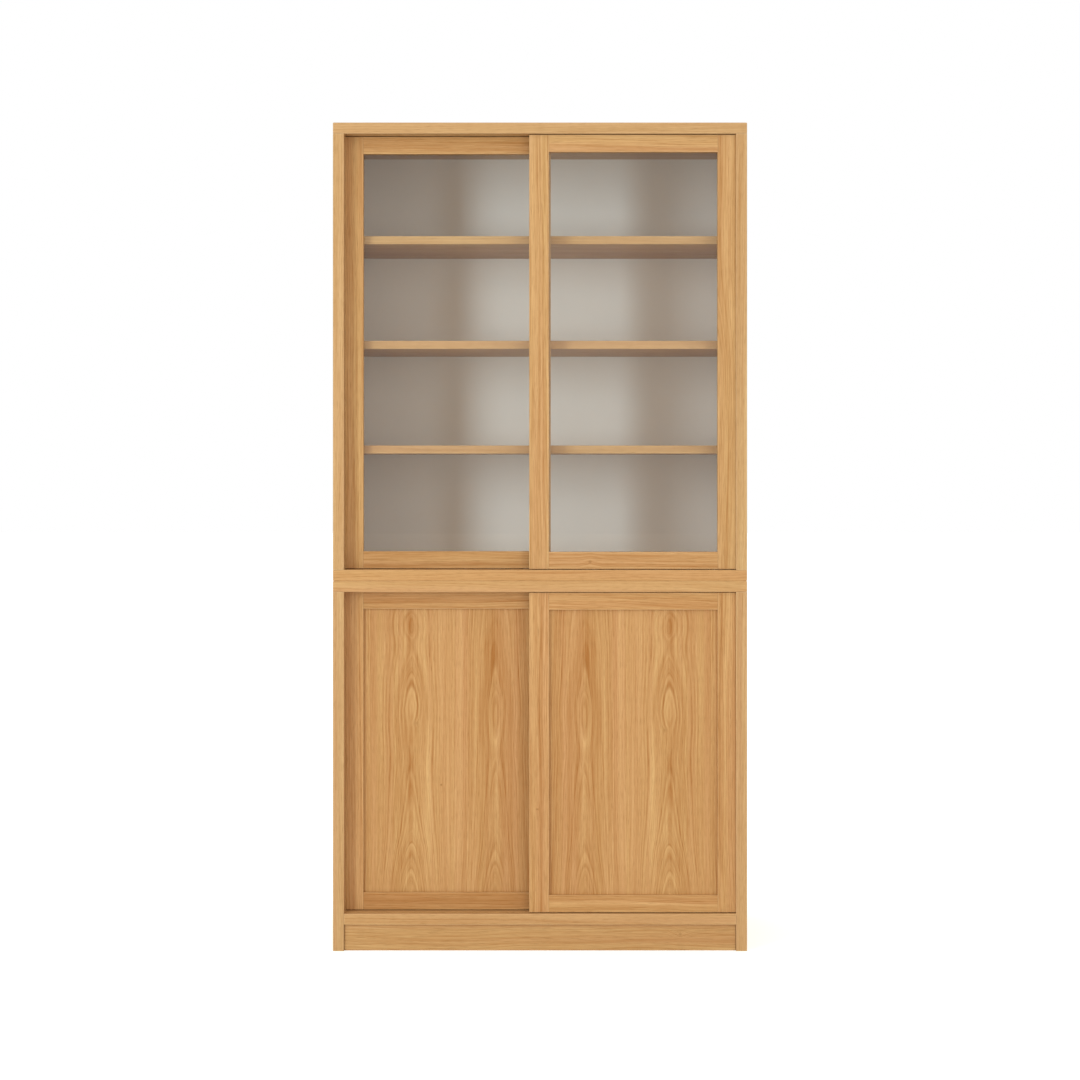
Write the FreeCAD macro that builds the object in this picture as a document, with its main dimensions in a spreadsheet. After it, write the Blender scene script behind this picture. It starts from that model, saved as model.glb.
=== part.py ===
import FreeCAD, Part
import os
import Sketcher
from collections import namedtuple
from types import SimpleNamespace

# A tall oak bookcase made of two stacked cabinets. The upper one has two sliding glass
# doors and three shelves, the lower one two sliding panelled doors and two shelves.
# On both levels the right door runs in the front track and the left door in the rear one.
#
# Millimetres. X runs from left to right, Y from front to back and Z up. The origin is
# under the middle of the base, and the doors are shut.

SIZES = [
    # The carcass
    ("case_width", 900, "overall width"),
    ("case_depth", 400, "overall depth"),
    ("lower_height", 804, "height of the lower cabinet"),
    ("upper_height", 996, "height of the upper cabinet"),
    ("board", 24, "thickness of tops, bottoms and sides"),
    ("arris", 1.5, "rounding of the outer edges"),
    ("seam_arris", 1.5, "bevel where one cabinet stands on the other"),
    ("joint_arris", 1, "bevel of a top or bottom where the sides meet it"),
    # The plinth
    ("plinth_height", 57, "floor to the underside of the lowest board"),
    ("plinth_board", 18, "thickness of the plinth boards"),
    ("plinth_setback", 6, "front face of the cabinet to the front plinth"),
    ("plinth_groove", 0.8, "width of the shadow groove along its top and ends"),
    ("plinth_groove_depth", 3, "depth of that groove"),
    ("rear_plinth_inset", 20, "back of the cabinet to the rear plinth"),
    # The backs
    ("back_board", 8, "thickness of a back"),
    ("back_rebate_width", 12, "how far the rebate for the back goes into a board"),
    ("back_inset", 3, "rear edges of the cabinet to its back"),
    ("back_gap", 1, "room around a back in its rebate"),
    # The shelves and their pins
    ("shelf_board", 18, "thickness of a shelf"),
    ("shelf_arris", 1.5, "rounding of a shelf's front edges"),
    ("shelf_end_gap", 1, "room at each end of a shelf"),
    ("shelf_door_gap", 4, "rear door to the front of a shelf"),
    ("shelf_back_gap", 2, "shelf to the back"),
    ("upper_first_shelf", 253, "opening floor to the underside of the first upper shelf"),
    ("upper_shelf_step", 230.5, "one upper shelf to the next"),
    ("lower_first_shelf", 221, "opening floor to the underside of the first lower shelf"),
    ("lower_shelf_step", 239, "one lower shelf to the next"),
    ("pin_diameter", 5, "shelf pin"),
    ("pin_play", 0.1, "how much wider its hole is"),
    ("pin_grip", 9.5, "length of the pin in its hole"),
    ("pin_end_gap", 0.5, "room past the end of the pin"),
    ("pin_reach", 12, "length of the pin under the shelf"),
    ("pin_tab_width", 10, "flat of the pin, along the shelf's end"),
    ("pin_tab_thickness", 2, "thickness of that flat"),
    ("pin_inset", 45, "front or back edge of a shelf to its pins"),
    ("pin_hole_step", 32, "one pin hole to the next"),
    # The doors
    ("door_setback", 7, "front face of the cabinet to the front doors"),
    ("door_pitch", 30, "face of a front door to the face of a rear door"),
    ("door_board", 22, "thickness of a door"),
    ("door_arris", 1, "rounding of a door's front edges"),
    ("door_lap", 47, "how far two shut doors overlap"),
    ("door_gap", 1.5, "room over and under a door"),
    ("door_entry", 3.5, "how far a shut door enters the groove in its side"),
    ("groove_end_gap", 0.5, "edge of a shut door to the bottom of that groove"),
    ("groove_play", 1, "room before and behind the door in that groove"),
    ("stile", 43, "width of a stile"),
    ("rail", 37.5, "width of a rail"),
    ("edge_recess", 9, "depth of the groove or rebate inside the frame"),
    ("edge_gap", 1, "room around a pane or panel in its recess"),
    ("tenon_thickness", 6, "tenon of a rail"),
    ("tenon_length", 20, "length of that tenon"),
    ("tenon_shoulder", 6, "outer edge of the rail to its tenon"),
    ("mortise_fit", 0.1, "room around a tenon"),
    ("mortise_end_gap", 1, "room past the end of a tenon"),
    ("glass_setback", 10, "face of a door to its glass"),
    ("glass", 4, "thickness of the glass"),
    ("bead_fit", 0.25, "room around a glazing bead, and between two of them"),
    ("bead_step", 3, "step on the inner edge of a bead"),
    ("panel_setback", 8, "face of a door to its panel"),
    ("panel", 6, "thickness of the panel"),
    ("panel_fit", 0.1, "room before and behind the panel in its groove"),
    # The running gear
    ("track_width", 6, "width of the tracks milled in tops and bottoms"),
    ("lower_track_depth", 6, "depth of the tracks under the doors"),
    ("upper_track_depth", 9, "depth of the tracks over the doors"),
    ("track_play", 1, "how much wider a track is than what runs in it"),
    ("runner_inset", 80, "edge of a door to its glides and guides"),
    ("glide_length", 40, "length of a glide"),
    ("glide_width", 10, "thickness of its block in the rail"),
    ("glide_height", 12, "height of that block"),
    ("glide_clearance", 0.3, "fin of a glide to the floor of its track"),
    ("fitting_gap", 0.1, "room around a glide or guide in its rail"),
    ("guide_clearance", 3, "end of a guide pin to the bottom of its track"),
    ("guide_sleeve", 10, "diameter of the sleeve of a guide pin"),
    ("guide_sleeve_floor", 3.5, "end of that sleeve to the recess under it"),
    # The fasteners
    ("dowel", 8, "diameter of a dowel"),
    ("dowel_play", 0.1, "how much wider its hole is"),
    ("dowel_in_face", 14, "length of a dowel in the face of a board"),
    ("dowel_in_end", 26, "length of a dowel in the end of a board"),
    ("dowel_end_gap", 1, "room past the end of a dowel"),
    ("dowel_inset", 70, "front or back of the cabinet to the outer dowels"),
    ("plinth_dowel_inset", 16, "edge of a plinth board to its dowels"),
    ("screw_shank", 3.5, "shank of a screw that holds a back"),
    ("screw_play", 0.2, "how much wider its hole is"),
    ("screw_bite", 12, "length of the shank in the carcass"),
    ("screw_end_gap", 1, "room past the end of the shank"),
    ("screw_head", 8, "diameter of its head"),
    ("screw_head_height", 1.6, "height of the head"),
    ("screw_slot_length", 4.4, "cross recess, tip to tip"),
    ("screw_slot_width", 0.9, "width of a slot of the recess"),
    ("screw_slot_depth", 0.9, "depth of the recess"),
    ("screw_inset", 60, "edge of the opening to the outer screws"),
    ("connector_side_inset", 50, "inner face of a side to the connectors"),
    ("connector_front_inset", 110, "front of the cabinet to the front connectors"),
    ("connector_back_inset", 70, "back of the cabinet to the rear connectors"),
    ("connector_head", 17, "diameter of a connector's head"),
    ("connector_head_height", 3, "height of the head, let in flush"),
    ("connector_head_gap", 0.5, "room around the head"),
    ("connector_sleeve", 8, "outside of the connector's sleeve"),
    ("connector_screw", 6, "shank of the connector's screw"),
    ("connector_play", 0.2, "how much wider each hole is than what it holds"),
    ("connector_screw_length", 32, "length of that shank"),
    ("connector_sleeve_gap", 2, "end of the sleeve to the screw's head"),
    ("connector_socket", 5, "socket in each head"),
    ("connector_socket_depth", 2, "depth of the socket"),
]

SHELVES = {"upper": 3, "lower": 2}
BACK_SCREWS = {"upper": 4, "lower": 3}  # down each side
BACK_SCREW_COLUMNS = 3  # along the top and the bottom
PIN_HOLES = (-1, 0, 1)  # places around each shelf, in steps of pin_hole_step


class Size:
    """A length: its number, and the sheet formula that drives it."""

    def __init__(self, number, formula):
        self.number = number
        self.formula = formula

    def __add__(self, other):
        other = as_size(other)
        return Size(self.number + other.number, f"({self.formula} + {other.formula})")

    def __sub__(self, other):
        other = as_size(other)
        return Size(self.number - other.number, f"({self.formula} - {other.formula})")

    def __mul__(self, factor):
        return Size(self.number * factor, f"({self.formula} * {factor})")

    def __truediv__(self, divisor):
        return Size(self.number / divisor, f"({self.formula} / {divisor})")

    def __neg__(self):
        return Size(-self.number, f"(-{self.formula})")


def as_size(value):
    return value if isinstance(value, Size) else Size(float(value), str(value))


def bind(target, name, size):
    """Drive one property of an object from the sheet."""
    target.setExpression(name, as_size(size).formula)


def make_sheet(doc):
    """Fill the spreadsheet and return its sizes by name."""
    sheet = doc.addObject("Spreadsheet::Sheet", "Sizes")
    sizes = SimpleNamespace()
    for row, (name, number, meaning) in enumerate(SIZES, start=1):
        sheet.set(f"A{row}", name)
        sheet.set(f"B{row}", str(number))
        sheet.set(f"C{row}", meaning)
        sheet.setAlias(f"B{row}", name)
        setattr(sizes, name, Size(number, f"Sizes.{name}"))
    return sizes


DOC = FreeCAD.newDocument("Bookcase")
S = make_sheet(DOC)
DOC.recompute()

ZERO = as_size(0)
INNER_WIDTH = S.case_width - S.board * 2
FRONT = -S.case_depth / 2
LEFT = -S.case_width / 2
INNER_LEFT = -INNER_WIDTH / 2

# Profiles for sketches: their first two values lie along the sketch's own two axes.
Rect = namedtuple("Rect", "across along wide high")
Disc = namedtuple("Disc", "across along diameter")

# Each axis: the plane across it, the sign of that plane's offset along the axis, and
# whether a pad and a pocket have to be reversed to run towards +axis.
AXES = {
    "X": ("YZ_Plane", 1, False, True),
    "Y": ("XZ_Plane", -1, True, False),
    "Z": ("XY_Plane", 1, False, True),
}

# Each face of a block: its axis, whether it is the far one, and its coordinate's index.
FACES = {
    "left": ("X", False, 0),
    "right": ("X", True, 0),
    "front": ("Y", False, 1),
    "back": ("Y", True, 1),
    "bottom": ("Z", False, 2),
    "top": ("Z", True, 2),
}

PIECES = []


class Piece:
    """One node: a body placed at a corner of the object, built in its own coordinates."""

    def __init__(self, label, corner, block=None):
        self.label = label
        self.body = DOC.addObject("PartDesign::Body", label)
        self.body.Label = label
        self.body.AllowCompound = True
        for axis, place in zip("xyz", corner):
            bind(self.body, f"Placement.Base.{axis}", place)
        self.block = block
        if block:
            width, depth, height = block
            self.grow("Z", ZERO, height, [Rect(ZERO, ZERO, width, depth)])
        PIECES.append(self)

    def sketch(self, axis, start, profiles):
        """Draw the profiles on the plane across an axis, at a distance along it."""
        role, sign, _, _ = AXES[axis]
        planes = self.body.Origin.OriginFeatures
        sketch = self.body.newObject("Sketcher::SketchObject", f"{self.label}_sketch")
        sketch.AttachmentSupport = [(next(p for p in planes if p.Role == role), "")]
        sketch.MapMode = "FlatFace"
        bind(sketch, "AttachmentOffset.Base.z", start * sign)
        for profile in profiles:
            if isinstance(profile, Rect):
                draw_rect(sketch, profile)
            else:
                draw_disc(sketch, profile)
        return sketch

    def feature(self, kind, sketch, **values):
        """Add a feature on a sketch, and check that it changed the solid."""
        before = volume_of(self.body)
        feature = self.body.newObject(f"PartDesign::{kind}", f"{self.label}_{kind.lower()}")
        feature.Profile = sketch
        sketch.Visibility = False
        if kind == "Hole":
            DOC.recompute()
        for name, value in values.items():
            if isinstance(value, Size):
                bind(feature, name, value)
            else:
                setattr(feature, name, value)
        DOC.recompute()
        after = volume_of(self.body)
        grew = after > before + 1e-3
        shrank = after < before - 1e-3
        if not (grew if kind == "Pad" else shrank):
            raise RuntimeError(f"{feature.Label} leaves the volume at {after:.1f}")

    def grow(self, axis, start, length, profiles):
        """Add material from start, over length, towards +axis."""
        reverse = AXES[axis][2]
        self.feature("Pad", self.sketch(axis, start, profiles), Length=length, Reversed=reverse)

    def carve(self, axis, start, length, profiles):
        """Cut material away from start, over length, towards +axis."""
        reverse = AXES[axis][3]
        self.feature("Pocket", self.sketch(axis, start, profiles), Length=length, Reversed=reverse)

    def drill(self, face, points, diameter, depth, inset=ZERO, **cut):
        """Bore flat-bottomed holes into a face of the block, or into a step inset from it."""
        axis, far, index = FACES[face]
        start = self.block[index] - inset if far else inset
        reverse = far != AXES[axis][3]
        sketch = self.sketch(axis, start, [Disc(a, b, diameter) for a, b in points])
        self.feature(
            "Hole", sketch, Threaded=False, DepthType="Dimension", DrillPoint="Flat",
            Diameter=diameter, Depth=depth, Reversed=reverse, **cut)

    def soften(self, kind, radius, edges):
        """Fillet or chamfer the block's edges, each named by the two faces it joins."""
        base = self.body.Tip
        names = []
        for number, edge in enumerate(base.Shape.Edges, start=1):
            points = [vertex.Point for vertex in edge.Vertexes]
            if any(all(self.on_face(p, f) for p in points for f in pair.split()) for pair in edges):
                names.append(f"Edge{number}")
        if not names:
            raise RuntimeError(f"{self.label} has no edge at {edges}")
        feature = self.body.newObject(f"PartDesign::{kind}", f"{self.label}_{kind.lower()}")
        feature.Base = (base, names)
        bind(feature, "Radius" if kind == "Fillet" else "Size", radius)
        DOC.recompute()

    def on_face(self, point, face):
        """Say whether a point in the body's own coordinates lies on a face of its block."""
        _, far, index = FACES[face]
        return abs(point[index] - (self.block[index].number if far else 0)) < 1e-6


def volume_of(body):
    return 0 if body.Shape.isNull() else body.Shape.Volume


def pin_point(sketch, name, geometry, vertex, across, along):
    """Hold one point of a sketch at a driven distance from its origin."""
    for kind, suffix, size in (("DistanceX", "across", across), ("DistanceY", "along", along)):
        drive(sketch, Sketcher.Constraint(kind, -1, 1, geometry, vertex, size.number),
              f"{name}_{suffix}", size)


def drive(sketch, constraint, name, size):
    """Add a constraint whose value comes from the sheet."""
    index = sketch.addConstraint(constraint)
    sketch.renameConstraint(index, name)
    bind(sketch, f"Constraints.{name}", size)


def draw_rect(sketch, rect):
    left, low = rect.across.number, rect.along.number
    right, high = left + rect.wide.number, low + rect.high.number
    corners = [FreeCAD.Vector(*c, 0) for c in ((left, low), (right, low), (right, high), (left, high))]
    sides = [Part.LineSegment(corners[i], corners[(i + 1) % 4]) for i in range(4)]
    first = sketch.addGeometry(sides, False)[0]
    for i in range(4):
        sketch.addConstraint(Sketcher.Constraint("Coincident", first + i, 2, first + (i + 1) % 4, 1))
        direction = "Vertical" if i % 2 else "Horizontal"
        sketch.addConstraint(Sketcher.Constraint(direction, first + i))
    name = f"rect{first}"
    pin_point(sketch, name, first, 1, rect.across, rect.along)
    drive(sketch, Sketcher.Constraint("DistanceX", first, 1, first, 2, rect.wide.number),
          f"{name}_wide", rect.wide)
    drive(sketch, Sketcher.Constraint("DistanceY", first + 1, 1, first + 1, 2, rect.high.number),
          f"{name}_high", rect.high)


def draw_disc(sketch, disc):
    centre = FreeCAD.Vector(disc.across.number, disc.along.number, 0)
    circle = Part.Circle(centre, FreeCAD.Vector(0, 0, 1), disc.diameter.number / 2)
    index = sketch.addGeometry(circle, False)
    pin_point(sketch, f"disc{index}", index, 3, disc.across, disc.along)
    drive(sketch, Sketcher.Constraint("Diameter", index, disc.diameter.number),
          f"disc{index}_diameter", disc.diameter)


def both_ways(first, second):
    """Every pairing of two lists of places."""
    return [(a, b) for a in first for b in second]


def spread(start, end, count):
    """Places from start to end, evenly spaced."""
    return [start + (end - start) * (i / (count - 1)) for i in range(count)]


# ---------------------------------------------------------------- the two cabinets

def make_level(name, base, floor, ceiling, first_shelf, shelf_step):
    """What the pieces of one cabinet share; floor and ceiling bound its opening."""
    opening = ceiling - floor
    shelves = [first_shelf + shelf_step * i for i in range(SHELVES[name])]
    screw_heights = spread(S.screw_inset, opening - S.screw_inset, BACK_SCREWS[name])
    return SimpleNamespace(
        name=name, base=base, floor=floor, ceiling=ceiling, opening=opening,
        shelves=shelves, screw_heights=screw_heights)


LOWER = make_level(
    "lower", ZERO, S.plinth_height + S.board, S.lower_height - S.board,
    S.lower_first_shelf, S.lower_shelf_step)
UPPER = make_level(
    "upper", S.lower_height, S.lower_height + S.board, S.lower_height + S.upper_height - S.board,
    S.upper_first_shelf, S.upper_shelf_step)

# Places along the cabinet's depth, from its front face.
DOWEL_PLACES = [S.dowel_inset, S.case_depth / 2, S.case_depth - S.dowel_inset]
DOOR_FACES = {"right": S.door_setback, "left": S.door_setback + S.door_pitch}
TRACKS = [face + S.door_board / 2 for face in DOOR_FACES.values()]
RUNNER = S.track_width - S.track_play  # thickness of what runs in a track
SHELF_FRONT = S.door_setback + S.door_pitch + S.door_board + S.shelf_door_gap
BACK_REBATE_DEPTH = S.back_board + S.back_inset
BACK_FACE = S.case_depth - BACK_REBATE_DEPTH
SHELF_DEPTH = BACK_FACE - S.shelf_back_gap - SHELF_FRONT
PIN_PLACES = [SHELF_FRONT + S.pin_inset, SHELF_FRONT + SHELF_DEPTH - S.pin_inset]
CONNECTOR_PLACES = [S.connector_front_inset, S.case_depth - S.connector_back_inset]
REBATE_MIDDLE = S.back_rebate_width / 2
DOWEL_HOLE = S.dowel + S.dowel_play
SCREW_HOLE = S.screw_shank + S.screw_play

# The pin's axis lies low enough for the pin to merge into the flat above it.
PIN_DROP = S.pin_tab_thickness / 2 + S.pin_diameter / 2


def screw_columns(left_face, right_face):
    """Places of the back's screws across the cabinet, between two inner faces."""
    return spread(left_face + S.screw_inset, right_face - S.screw_inset, BACK_SCREW_COLUMNS)


def mill_inner_face(board, track_depth, facing, start, length, rebate_start, rebate_length):
    """Cut the tracks and the back's rebate into the face of a board towards the opening."""
    upward = facing == "top"
    tracks = [
        Rect(start, place - S.track_width / 2, length, S.track_width) for place in TRACKS]
    board.carve("Z", S.board - track_depth if upward else ZERO, track_depth, tracks)
    rebate = Rect(rebate_start, BACK_FACE, rebate_length, BACK_REBATE_DEPTH)
    board.carve(
        "Z", S.board - S.back_rebate_width if upward else ZERO, S.back_rebate_width, [rebate])


def full_width_board(label, bottom, facing, track_depth, outer_arris):
    """A top or bottom that runs over the ends of the sides."""
    board = Piece(label, (LEFT, FRONT, bottom), (S.case_width, S.case_depth, S.board))
    outer = "bottom" if facing == "top" else "top"
    board.soften("Fillet", S.arris, ["left front", "right front", "left back", "right back"])
    board.soften("Chamfer", outer_arris, [f"{outer} front"])
    board.soften("Chamfer", S.joint_arris, [f"{facing} front"])
    rebate_left = S.board - S.back_rebate_width
    rebate_length = INNER_WIDTH + S.back_rebate_width * 2
    mill_inner_face(board, track_depth, facing, S.board, INNER_WIDTH, rebate_left, rebate_length)
    ends = [S.board / 2, S.case_width - S.board / 2]
    board.drill(
        facing, both_ways(ends, DOWEL_PLACES), DOWEL_HOLE, S.dowel_in_face + S.dowel_end_gap)
    row = S.board - REBATE_MIDDLE if facing == "top" else REBATE_MIDDLE
    columns = screw_columns(S.board, S.board + INNER_WIDTH)
    board.drill(
        "back", both_ways(columns, [row]), SCREW_HOLE, S.screw_bite + S.screw_end_gap,
        inset=BACK_REBATE_DEPTH)
    return board


def bore_for_connectors(board, facing):
    """Through holes with a sunk seat for the heads, in one of the two stacked boards."""
    columns = [S.board + S.connector_side_inset, S.board + INNER_WIDTH - S.connector_side_inset]
    board.drill(
        facing, both_ways(columns, CONNECTOR_PLACES), S.connector_sleeve + S.connector_play, S.board,
        HoleCutType="Counterbore", HoleCutDiameter=S.connector_head + S.connector_head_gap * 2,
        HoleCutDepth=S.connector_head_height)


def side_board(level, side, bottom, height, pocket_bottom):
    """A side: a groove for the door that shuts against it, a rebate, and all its holes."""
    left = LEFT if side == "left" else LEFT + S.board + INNER_WIDTH
    board = Piece(f"{level.name}_{side}_side", (left, FRONT, bottom), (S.board, S.case_depth, height))
    board.soften("Fillet", S.arris, ["left front", "right front", "left back", "right back"])
    inner = "right" if side == "left" else "left"
    floor = level.floor - bottom

    def from_inner(depth):
        return S.board - depth if inner == "right" else ZERO

    groove_depth = S.door_entry + S.groove_end_gap
    groove = Rect(
        from_inner(groove_depth), DOOR_FACES[side] - S.groove_play, groove_depth,
        S.door_board + S.groove_play * 2)
    board.carve("Z", floor, level.opening, [groove])
    rebate = Rect(
        from_inner(S.back_rebate_width), BACK_FACE, S.back_rebate_width, BACK_REBATE_DEPTH)
    board.carve("Z", pocket_bottom, height - pocket_bottom, [rebate])
    heights = [
        floor + shelf - PIN_DROP + S.pin_hole_step * step
        for shelf in level.shelves for step in PIN_HOLES]
    board.drill(
        inner, both_ways(PIN_PLACES, heights), S.pin_diameter + S.pin_play,
        S.pin_grip + S.pin_end_gap)
    column = S.board - REBATE_MIDDLE if inner == "right" else REBATE_MIDDLE
    rows = [floor + place for place in level.screw_heights]
    board.drill(
        "back", both_ways([column], rows), SCREW_HOLE, S.screw_bite + S.screw_end_gap,
        inset=BACK_REBATE_DEPTH)
    ends = both_ways([S.board / 2], DOWEL_PLACES)
    board.drill("top", ends, DOWEL_HOLE, S.dowel_in_end + S.dowel_end_gap)
    return board, inner, ends


def make_upper_carcass():
    full_width_board(
        "upper_top_panel", UPPER.ceiling, "bottom", S.upper_track_depth, S.arris)
    bottom = full_width_board(
        "upper_bottom_panel", UPPER.base, "top", S.lower_track_depth, S.seam_arris)
    bore_for_connectors(bottom, "top")
    for side in ("left", "right"):
        board, _, ends = side_board(UPPER, side, UPPER.floor, UPPER.opening, ZERO)
        board.drill("bottom", ends, DOWEL_HOLE, S.dowel_in_end + S.dowel_end_gap)


# The plinth boards, as distances from the cabinet's front face.
PLINTHS = {
    "front": S.plinth_setback,
    "rear": S.case_depth - S.rear_plinth_inset - S.plinth_board,
}
PLINTH_DOWEL_HEIGHTS = [S.plinth_dowel_inset, S.plinth_height - S.plinth_dowel_inset]


def make_lower_carcass():
    top = full_width_board(
        "lower_top_panel", LOWER.ceiling, "bottom", S.upper_track_depth, S.seam_arris)
    bore_for_connectors(top, "bottom")
    face_hole = S.dowel_in_face + S.dowel_end_gap
    end_hole = S.dowel_in_end + S.dowel_end_gap
    for side in ("left", "right"):
        board, inner, _ = side_board(
            LOWER, side, ZERO, LOWER.ceiling, LOWER.floor - S.back_rebate_width)
        floor_dowels = both_ways(DOWEL_PLACES, [S.plinth_height + S.board / 2])
        plinth_places = [place + S.plinth_board / 2 for place in PLINTHS.values()]
        plinth_dowels = both_ways(plinth_places, PLINTH_DOWEL_HEIGHTS)
        board.drill(inner, floor_dowels + plinth_dowels, DOWEL_HOLE, face_hole)

    bottom = Piece(
        "lower_bottom_panel", (INNER_LEFT, FRONT, S.plinth_height),
        (INNER_WIDTH, S.case_depth, S.board))
    bottom.soften("Fillet", S.seam_arris, ["top front", "bottom front"])
    mill_inner_face(bottom, S.lower_track_depth, "top", ZERO, INNER_WIDTH, ZERO, INNER_WIDTH)
    for end in ("left", "right"):
        bottom.drill(end, both_ways(DOWEL_PLACES, [S.board / 2]), DOWEL_HOLE, end_hole)
    bottom.drill(
        "back", both_ways(screw_columns(ZERO, INNER_WIDTH), [S.board - REBATE_MIDDLE]),
        SCREW_HOLE, S.screw_bite + S.screw_end_gap, inset=BACK_REBATE_DEPTH)

    for name, setback in PLINTHS.items():
        plinth = Piece(
            f"{name}_plinth", (INNER_LEFT, FRONT + setback, ZERO),
            (INNER_WIDTH, S.plinth_board, S.plinth_height))
        plinth.soften("Chamfer", S.joint_arris, ["bottom front"])
        if name == "front":
            groove = S.plinth_groove
            along_top = Rect(ZERO, S.plinth_height - groove, INNER_WIDTH, groove)
            at_ends = [
                Rect(start, ZERO, groove, S.plinth_height) for start in (ZERO, INNER_WIDTH - groove)]
            for cuts in ([along_top], at_ends):
                plinth.carve("Y", ZERO, S.plinth_groove_depth, cuts)
        for end in ("left", "right"):
            plinth.drill(
                end, both_ways([S.plinth_board / 2], PLINTH_DOWEL_HEIGHTS), DOWEL_HOLE, end_hole)


def make_back(level):
    """A back in its rebate, and the pan-head screws that hold it."""
    overlap = S.back_rebate_width - S.back_gap
    left = INNER_LEFT - overlap
    bottom = level.floor - overlap
    size = (INNER_WIDTH + overlap * 2, S.back_board, level.opening + overlap * 2)
    back = Piece(f"{level.name}_back_panel", (left, FRONT + BACK_FACE, bottom), size)
    edge = overlap - REBATE_MIDDLE
    points = both_ways([edge, size[0] - edge], [overlap + place for place in level.screw_heights])
    columns = screw_columns(overlap, overlap + INNER_WIDTH)
    points += both_ways(columns, [edge, size[2] - edge])
    back.drill("back", points, SCREW_HOLE, S.back_board)

    screws = Piece(f"{level.name}_back_screws", (left, FRONT + BACK_FACE, bottom))
    head = [Disc(a, b, S.screw_head) for a, b in points]
    shank = [Disc(a, b, S.screw_shank) for a, b in points]
    screws.grow("Y", -S.screw_bite, S.screw_bite + S.back_board, shank)
    screws.grow("Y", S.back_board, S.screw_head_height, head)
    long, thin = S.screw_slot_length, S.screw_slot_width
    for wide, high in ((long, thin), (thin, long)):
        slots = [Rect(a - wide / 2, b - high / 2, wide, high) for a, b in points]
        slot_start = S.back_board + S.screw_head_height - S.screw_slot_depth
        screws.carve("Y", slot_start, S.screw_slot_depth, slots)


def make_shelves(level):
    """Loose shelves, and the four pins with a flat that carry each of them."""
    width = INNER_WIDTH - S.shelf_end_gap * 2
    for number, shelf in enumerate(level.shelves, start=1):
        corner = (INNER_LEFT + S.shelf_end_gap, FRONT + SHELF_FRONT, level.floor + shelf)
        board = Piece(
            f"{level.name}_shelf_{number}", corner, (width, SHELF_DEPTH, S.shelf_board))
        board.soften("Fillet", S.shelf_arris, ["top front", "bottom front"])

    pins = Piece(f"{level.name}_shelf_pins", (INNER_LEFT, FRONT, level.floor))
    rods = [
        Disc(place, shelf - PIN_DROP, S.pin_diameter)
        for place, shelf in both_ways(PIN_PLACES, level.shelves)]
    flats = [
        Rect(place - S.pin_tab_width / 2, shelf - S.pin_tab_thickness, S.pin_tab_width,
             S.pin_tab_thickness)
        for place, shelf in both_ways(PIN_PLACES, level.shelves)]
    length = S.pin_grip + S.pin_reach
    for rod_start, flat_start in (
            (-S.pin_grip, ZERO), (INNER_WIDTH - S.pin_reach, INNER_WIDTH - S.pin_reach)):
        pins.grow("X", rod_start, length, rods)
        pins.grow("X", flat_start, S.pin_reach, flats)


def make_dowels():
    """The glued dowels between the boards of each cabinet."""
    columns = [S.board / 2, S.case_width - S.board / 2]
    upright = [Disc(a, b, S.dowel) for a, b in both_ways(columns, DOWEL_PLACES)]
    length = S.dowel_in_face + S.dowel_in_end

    upper = Piece("upper_dowels", (LEFT, FRONT, ZERO))
    upper.grow("Z", UPPER.ceiling - S.dowel_in_end, length, upright)
    upper.grow("Z", UPPER.floor - S.dowel_in_face, length, upright)

    lower = Piece("lower_dowels", (LEFT, FRONT, ZERO))
    lower.grow("Z", LOWER.ceiling - S.dowel_in_end, length, upright)
    places = both_ways(DOWEL_PLACES, [S.plinth_height + S.board / 2])
    for setback in PLINTHS.values():
        places += both_ways([setback + S.plinth_board / 2], PLINTH_DOWEL_HEIGHTS)
    level_dowels = [Disc(a, b, S.dowel) for a, b in places]
    lower.grow("X", S.board - S.dowel_in_face, length, level_dowels)
    lower.grow("X", S.board + INNER_WIDTH - S.dowel_in_end, length, level_dowels)


def make_connectors():
    """Screws and sleeves that hold the upper cabinet on the lower one."""
    columns = [S.board + S.connector_side_inset, S.board + INNER_WIDTH - S.connector_side_inset]
    points = both_ways(columns, CONNECTOR_PLACES)
    head = [Disc(a, b, S.connector_head) for a, b in points]
    socket = [Disc(a, b, S.connector_socket) for a, b in points]
    stack = S.board * 2
    head_start = stack - S.connector_head_height

    sleeves = Piece("connector_sleeves", (LEFT, FRONT, LOWER.ceiling))
    sleeves.grow("Z", ZERO, S.connector_head_height, head)
    tube = [Disc(a, b, S.connector_sleeve) for a, b in points]
    tube_end = head_start - S.connector_sleeve_gap
    sleeves.grow("Z", S.connector_head_height, tube_end - S.connector_head_height, tube)
    bore = [Disc(a, b, S.connector_screw + S.connector_play) for a, b in points]
    sleeves.carve("Z", S.connector_head_height, tube_end - S.connector_head_height, bore)
    sleeves.carve("Z", ZERO, S.connector_socket_depth, socket)

    screws = Piece("connector_screws", (LEFT, FRONT, LOWER.ceiling))
    screws.grow("Z", head_start, S.connector_head_height, head)
    shank = [Disc(a, b, S.connector_screw) for a, b in points]
    screws.grow("Z", head_start - S.connector_screw_length, S.connector_screw_length, shank)
    screws.carve("Z", stack - S.connector_socket_depth, S.connector_socket_depth, socket)


# ---------------------------------------------------------------- the doors

DOOR_WIDTH = INNER_WIDTH / 2 + S.door_entry + S.door_lap / 2
SIGHT_WIDTH = DOOR_WIDTH - S.stile * 2
TENON_HEIGHT = S.rail - S.tenon_shoulder - S.edge_recess
RUNNERS = [S.runner_inset - S.stile, DOOR_WIDTH - S.runner_inset - S.stile]  # along a rail
DOOR_MIDDLE = S.door_board / 2


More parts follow.
